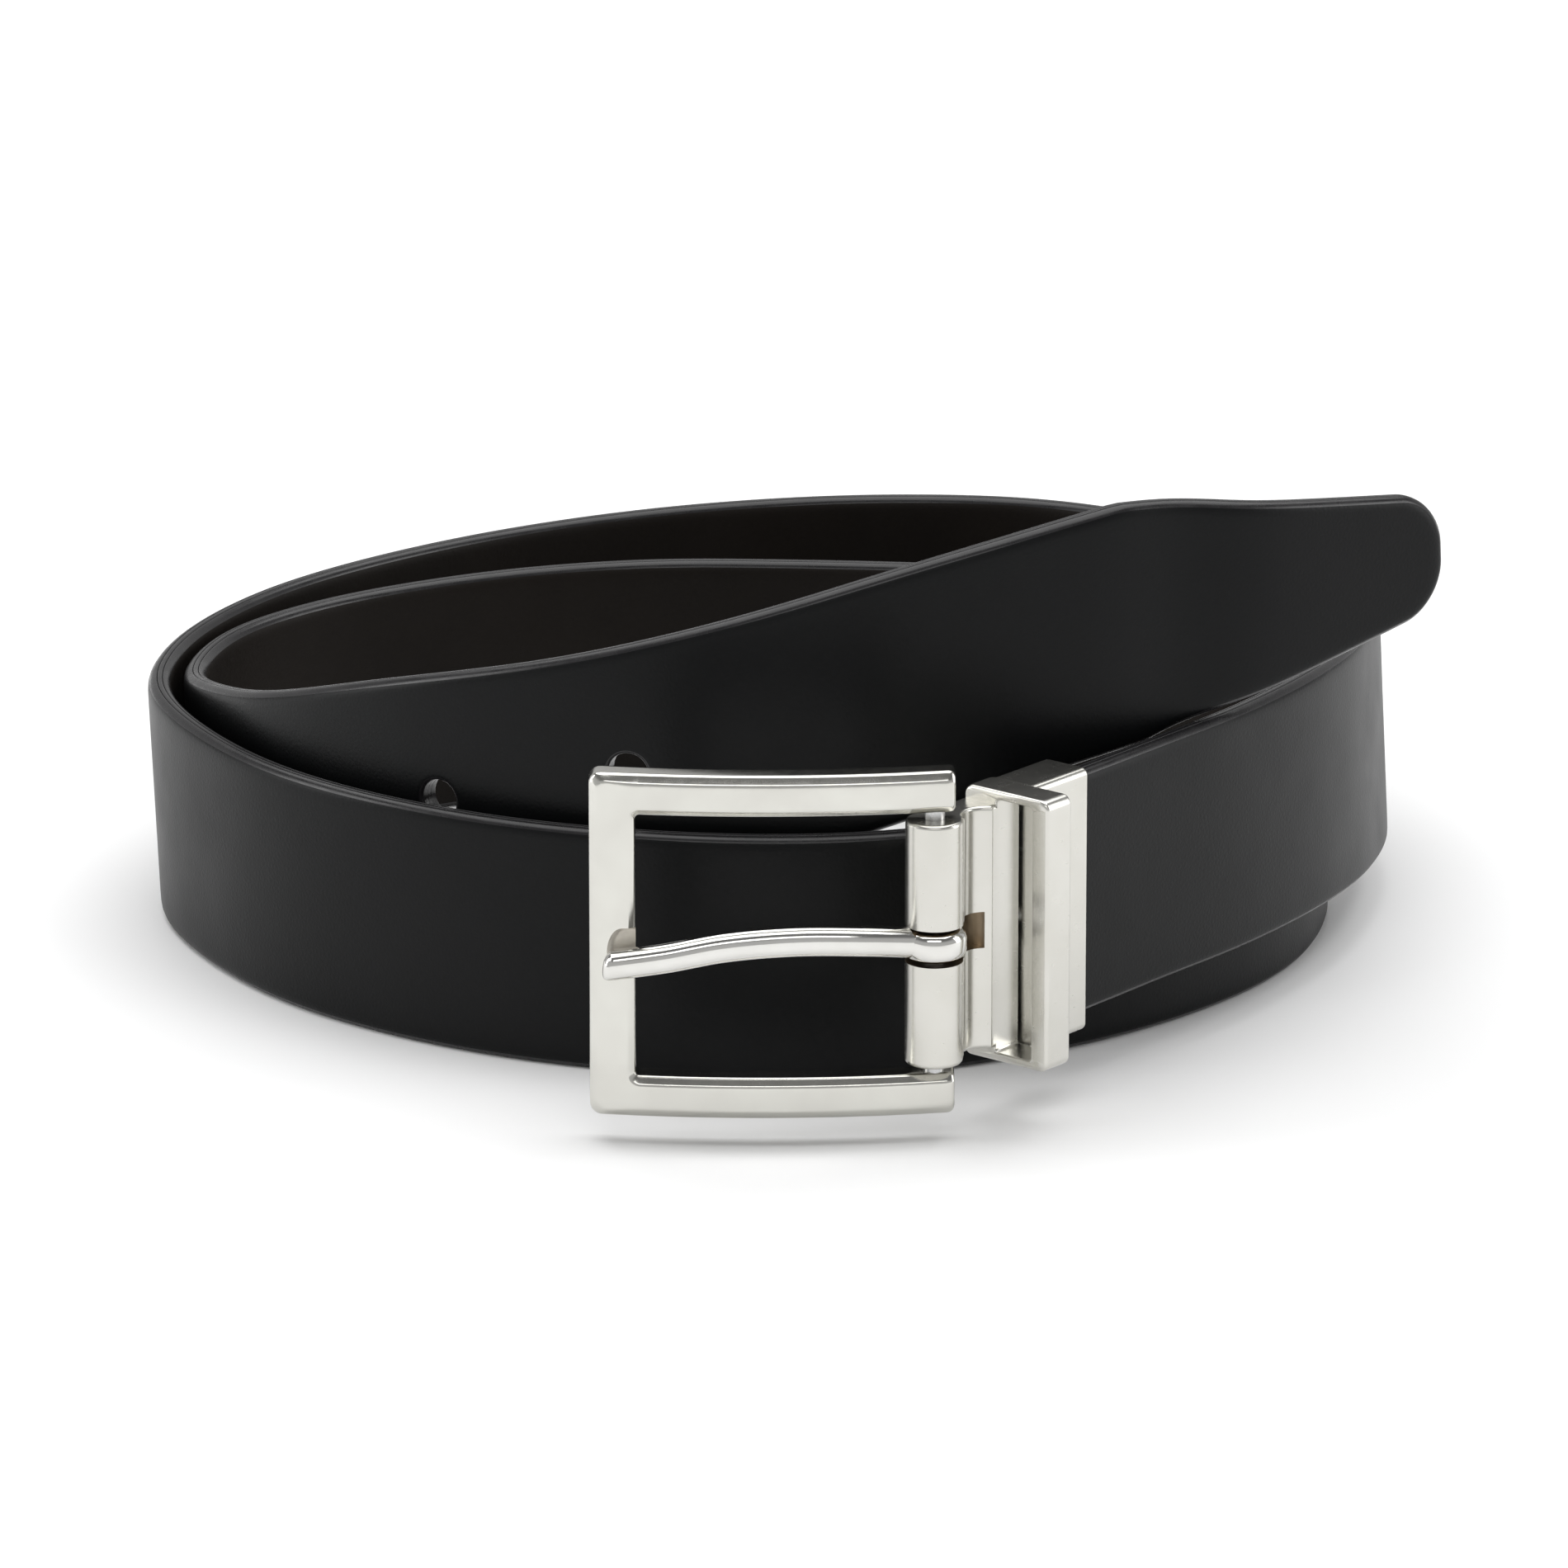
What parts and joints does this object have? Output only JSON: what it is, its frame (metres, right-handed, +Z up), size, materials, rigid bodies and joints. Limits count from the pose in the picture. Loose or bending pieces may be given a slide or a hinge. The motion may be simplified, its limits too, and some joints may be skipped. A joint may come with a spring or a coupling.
{
  "type": "belt",
  "caption": "Reversible leather dress belt, coiled on its edge, with a satin twist-swivel buckle, prong, keeper loop and strap clamp.",
  "frame": {"origin": "middle of the coiled belt, on the surface its strap's edge stands on", "axes": "+Z up, across the strap's width; +X along the buckle's swivel axis, from the buckle towards the strap; +Y towards the coil from the buckle's side"},
  "size_m": [0.1702, 0.1562, 0.0667],
  "materials": {
    "outer_leather": "smooth black leather, fine grain, semi-matt",
    "core": "bonded leather fibre board",
    "lining_leather": "smooth very dark brown leather",
    "satin_nickel": "satin nickel plate on cast zinc",
    "polished_nickel": "polished nickel plate",
    "bare_steel": "plain steel"
  },
  "bodies": {
    "belt": {"strap_outer_leather": "outer_leather", "strap_core": "core", "strap_lining": "lining_leather", "clamp_housing": "satin_nickel", "grip_plate": "bare_steel", "clamp_screws": "bare_steel", "return_spring": "bare_steel"},
    "spring_seat": {"spring_washer": "bare_steel"},
    "swivel": {"keeper_block": "satin_nickel", "swivel_post": "bare_steel", "post_retainer": "bare_steel"},
    "frame": {"buckle_frame": "satin_nickel", "cross_pin": "bare_steel"},
    "prong": {"prong": "polished_nickel"}
  },
  "joints": [
    {"name": "buckle_pull", "type": "slide", "parent": "belt", "child": "spring_seat", "axis": [-1, 0, 0], "range_m": [0, 0.0025], "stiffness_N_per_m": 1500, "springref_m": -0.001, "deforming": ["return_spring"]},
    {"name": "buckle_twist", "type": "hinge", "parent": "spring_seat", "child": "swivel", "pos_m": [-0.0362, -0.0686, 0.0242], "axis": [1, 0, 0], "range_deg": [0, 180]},
    {"name": "frame_fold", "type": "hinge", "parent": "swivel", "child": "frame", "pos_m": [-0.0562, -0.0679, 0.0242], "axis": [0, 0, 1], "range_deg": [-20, 50.5]},
    {"name": "prong_lift", "type": "hinge", "parent": "frame", "child": "prong", "pos_m": [-0.0562, -0.0679, 0.0242], "axis": [0, 0, 1], "range_deg": [0, 75]}
  ]
}
